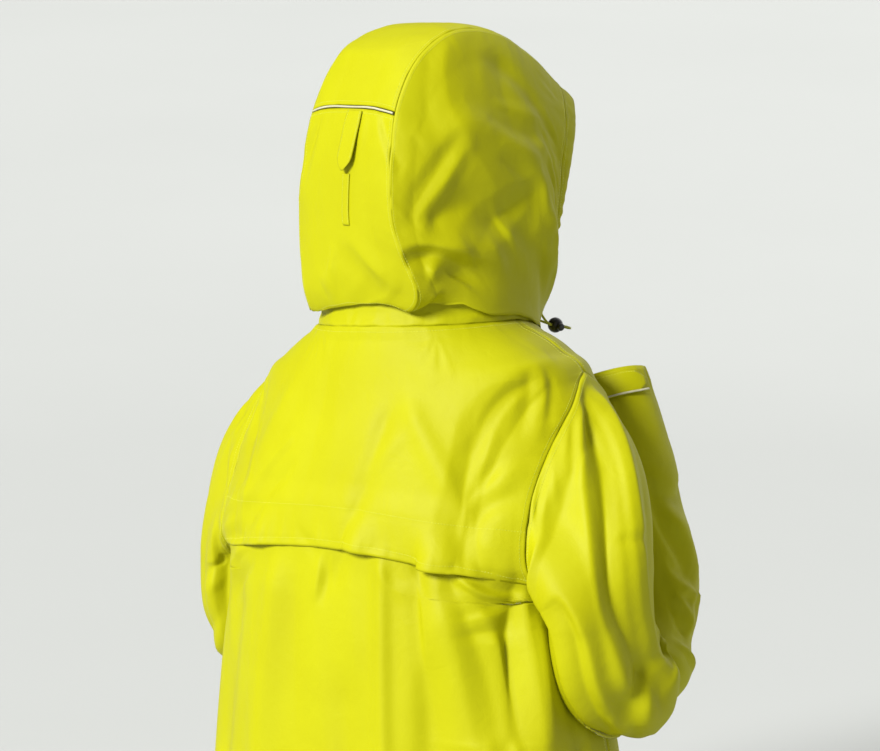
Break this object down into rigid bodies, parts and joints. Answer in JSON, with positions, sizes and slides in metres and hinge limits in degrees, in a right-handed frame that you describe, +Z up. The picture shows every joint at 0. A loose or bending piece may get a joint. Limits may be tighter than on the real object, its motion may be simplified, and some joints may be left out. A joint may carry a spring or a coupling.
{
  "type": "rain jacket",
  "caption": "Hooded rain jacket in coated cloth, hood up, with a storm flap across the back, cuff tabs, front zip and a hood drawcord with ball locks, hollow in its worn shape.",
  "frame": {"origin": "middle of the neck, level with the back neck seam, where the jacket hangs on its wearer's shoulders", "axes": "+Z up; +Y out of the back; -X to the wearer's right"},
  "size_m": [0.6458, 0.5191, 1.0797],
  "materials": {
    "coated_cloth": "acid yellow coated fabric with a soft satin sheen",
    "reflective_trim": "beige-silver reflective tape, satin",
    "zip_metal": "dull dark metal",
    "cord": "olive-yellow braided cord",
    "lock_plastic": "black moulded plastic, half matt"
  },
  "bodies": {
    "jacket": {"back_panel": "coated_cloth", "back_yoke": "coated_cloth", "front_right": "coated_cloth", "front_left": "coated_cloth", "sleeve_right": "coated_cloth", "sleeve_left": "coated_cloth", "cuff_tab_right": "coated_cloth", "cuff_tab_left": "coated_cloth", "collar": "coated_cloth", "hood_crown": "coated_cloth", "hood_back": "coated_cloth", "hood_side_right": "coated_cloth", "hood_side_left": "coated_cloth", "hood_band": "coated_cloth", "hood_tab": "coated_cloth", "hood_loop_tape": "coated_cloth", "zip_tape": "coated_cloth", "cuff_trim_right": "reflective_trim", "cuff_trim_left": "reflective_trim", "hood_piping": "reflective_trim", "zip_chain": "zip_metal", "zip_slider": "zip_metal", "hood_cord_right": "cord", "hood_cord_left": "cord", "lock_barrel_right": "lock_plastic", "lock_barrel_left": "lock_plastic"},
    "pull_tab": {"zip_pull": "zip_metal"},
    "right_button": {"lock_button_right": "lock_plastic"},
    "left_button": {"lock_button_left": "lock_plastic"}
  },
  "joints": [
    {"name": "pull_tab_hinge", "type": "hinge", "parent": "jacket", "child": "pull_tab", "pos_m": [0, -0.1426, -0.014], "axis": [-1, 0, 0], "range_deg": [0, 120]},
    {"name": "right_button_press", "type": "slide", "parent": "jacket", "child": "right_button", "axis": [0.9405, -0.297, 0.1652], "range_m": [0, 0.0025], "stiffness_N_per_m": 900, "springref_m": -0.002},
    {"name": "left_button_press", "type": "slide", "parent": "jacket", "child": "left_button", "axis": [-0.9529, 0.2741, -0.1299], "range_m": [0, 0.0025], "stiffness_N_per_m": 900, "springref_m": -0.002}
  ]
}
